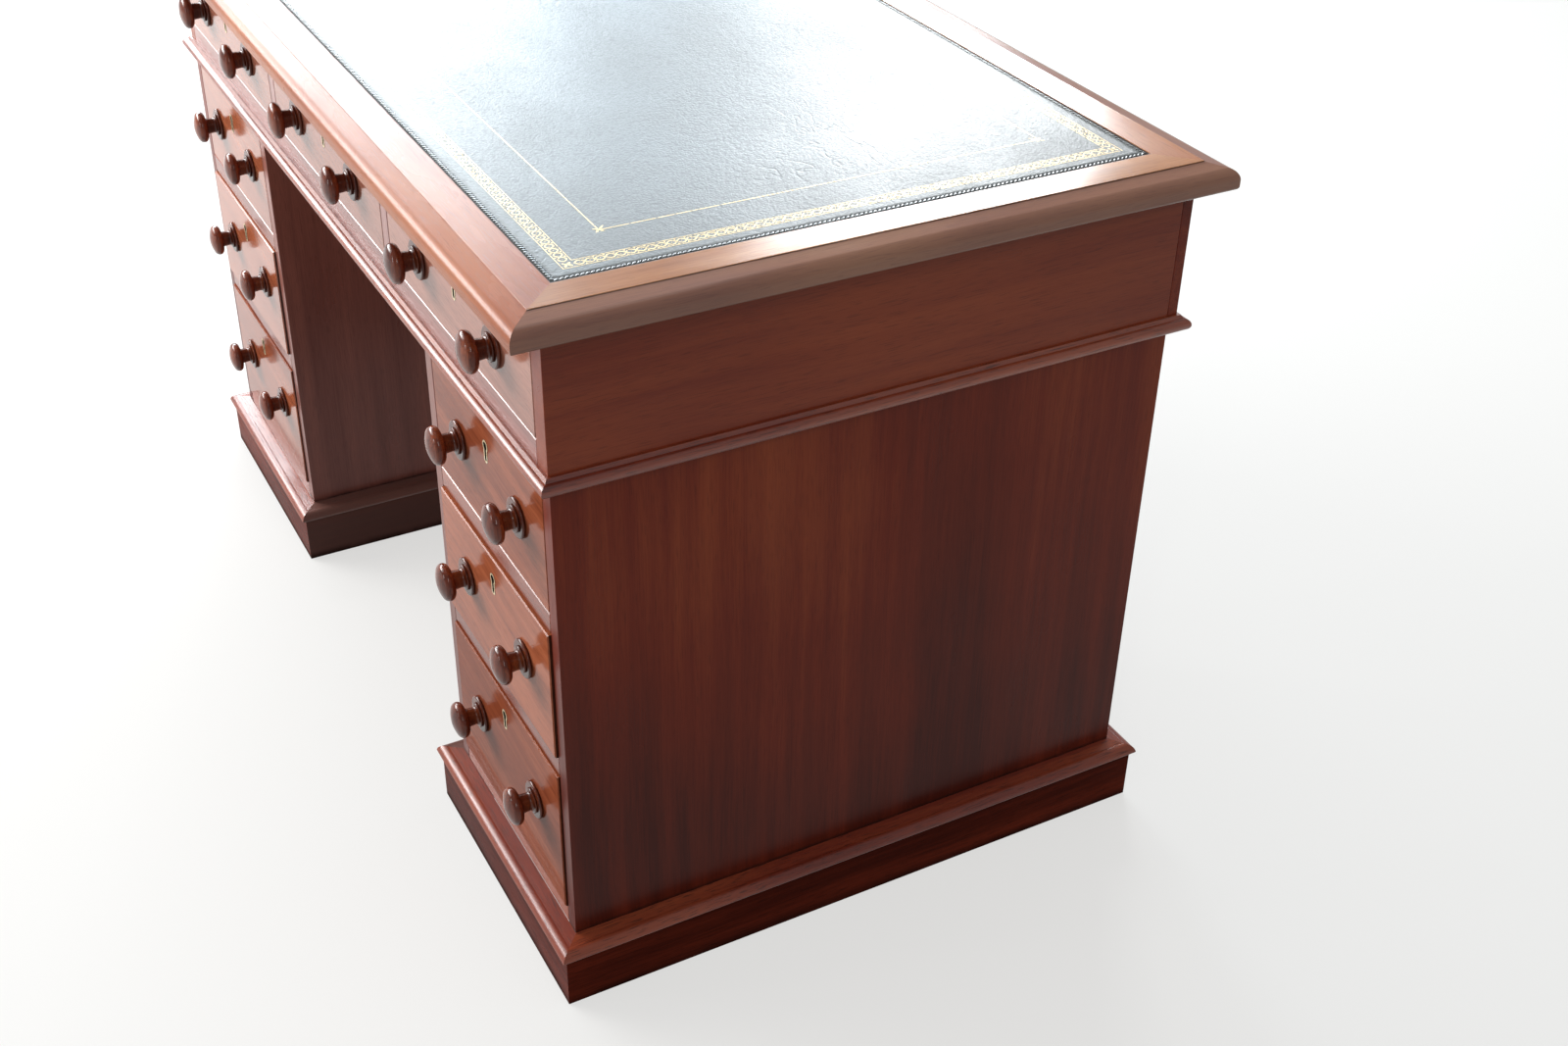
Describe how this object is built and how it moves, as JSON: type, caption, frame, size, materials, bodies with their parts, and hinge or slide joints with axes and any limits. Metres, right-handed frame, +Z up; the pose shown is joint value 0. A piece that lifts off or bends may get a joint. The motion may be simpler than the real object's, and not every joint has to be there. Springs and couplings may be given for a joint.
{
  "type": "pedestal desk",
  "caption": "Twin-pedestal kneehole desk in polished mahogany with a leather writing surface, sliding drawers, turned wooden knobs and brass keyholes.",
  "frame": {"origin": "on the floor, under the middle of the top", "axes": "+X along the length, the drawers face -Y, +Z up"},
  "size_m": [1.252, 0.723, 0.77],
  "materials": {
    "mahogany": "French-polished mahogany, glossy, with some wear",
    "lining_wood": "plain unpolished timber",
    "leather": "dark pebbled hide with a gold-tooled border",
    "brass": "aged brass"
  },
  "bodies": {
    "carcass": {"leather_top": "leather", "top_panel": "lining_wood", "top_border_front": "mahogany", "top_border_back": "mahogany", "top_border_left": "mahogany", "top_border_right": "mahogany", "frieze_end_left": "mahogany", "frieze_end_right": "mahogany", "frieze_back": "mahogany", "frieze_face_frame": "mahogany", "frieze_runners": "lining_wood", "bead_moulding": "mahogany", "left_pedestal_outer_side": "mahogany", "left_pedestal_inner_side": "mahogany", "right_pedestal_inner_side": "mahogany", "right_pedestal_outer_side": "mahogany", "pedestal_backs": "mahogany", "pedestal_boards": "mahogany", "pedestal_rails": "mahogany", "pedestal_runners": "lining_wood", "plinth_boards": "mahogany", "plinth_mouldings": "mahogany", "drawer_stops": "lining_wood", "locating_pegs": "lining_wood"},
    "left_frieze_drawer": {"left_frieze_drawer_front": "mahogany", "left_frieze_drawer_box": "lining_wood", "left_frieze_drawer_knobs": "mahogany", "left_frieze_drawer_lock": "brass"},
    "middle_frieze_drawer": {"middle_frieze_drawer_front": "mahogany", "middle_frieze_drawer_box": "lining_wood", "middle_frieze_drawer_knobs": "mahogany", "middle_frieze_drawer_lock": "brass"},
    "right_frieze_drawer": {"right_frieze_drawer_front": "mahogany", "right_frieze_drawer_box": "lining_wood", "right_frieze_drawer_knobs": "mahogany", "right_frieze_drawer_lock": "brass"},
    "left_upper_drawer": {"left_upper_drawer_front": "mahogany", "left_upper_drawer_box": "lining_wood", "left_upper_drawer_knobs": "mahogany", "left_upper_drawer_lock": "brass"},
    "left_middle_drawer": {"left_middle_drawer_front": "mahogany", "left_middle_drawer_box": "lining_wood", "left_middle_drawer_knobs": "mahogany", "left_middle_drawer_lock": "brass"},
    "left_lower_drawer": {"left_lower_drawer_front": "mahogany", "left_lower_drawer_box": "lining_wood", "left_lower_drawer_knobs": "mahogany", "left_lower_drawer_lock": "brass"},
    "right_upper_drawer": {"right_upper_drawer_front": "mahogany", "right_upper_drawer_box": "lining_wood", "right_upper_drawer_knobs": "mahogany", "right_upper_drawer_lock": "brass"},
    "right_middle_drawer": {"right_middle_drawer_front": "mahogany", "right_middle_drawer_box": "lining_wood", "right_middle_drawer_knobs": "mahogany", "right_middle_drawer_lock": "brass"},
    "right_lower_drawer": {"right_lower_drawer_front": "mahogany", "right_lower_drawer_box": "lining_wood", "right_lower_drawer_knobs": "mahogany", "right_lower_drawer_lock": "brass"}
  },
  "joints": [
    {"name": "left_frieze_drawer_slide", "type": "slide", "parent": "carcass", "child": "left_frieze_drawer", "axis": [0, -1, 0], "range_m": [0, 0.42]},
    {"name": "middle_frieze_drawer_slide", "type": "slide", "parent": "carcass", "child": "middle_frieze_drawer", "axis": [0, -1, 0], "range_m": [0, 0.42]},
    {"name": "right_frieze_drawer_slide", "type": "slide", "parent": "carcass", "child": "right_frieze_drawer", "axis": [0, -1, 0], "range_m": [0, 0.42]},
    {"name": "left_upper_drawer_slide", "type": "slide", "parent": "carcass", "child": "left_upper_drawer", "axis": [0, -1, 0], "range_m": [0, 0.42]},
    {"name": "left_middle_drawer_slide", "type": "slide", "parent": "carcass", "child": "left_middle_drawer", "axis": [0, -1, 0], "range_m": [-0.0032, 0.42]},
    {"name": "left_lower_drawer_slide", "type": "slide", "parent": "carcass", "child": "left_lower_drawer", "axis": [0, -1, 0], "range_m": [-0.0023, 0.42]},
    {"name": "right_upper_drawer_slide", "type": "slide", "parent": "carcass", "child": "right_upper_drawer", "axis": [0, -1, 0], "range_m": [0, 0.42]},
    {"name": "right_middle_drawer_slide", "type": "slide", "parent": "carcass", "child": "right_middle_drawer", "axis": [0, -1, 0], "range_m": [-0.0032, 0.42]},
    {"name": "right_lower_drawer_slide", "type": "slide", "parent": "carcass", "child": "right_lower_drawer", "axis": [0, -1, 0], "range_m": [-0.0023, 0.42]}
  ]
}
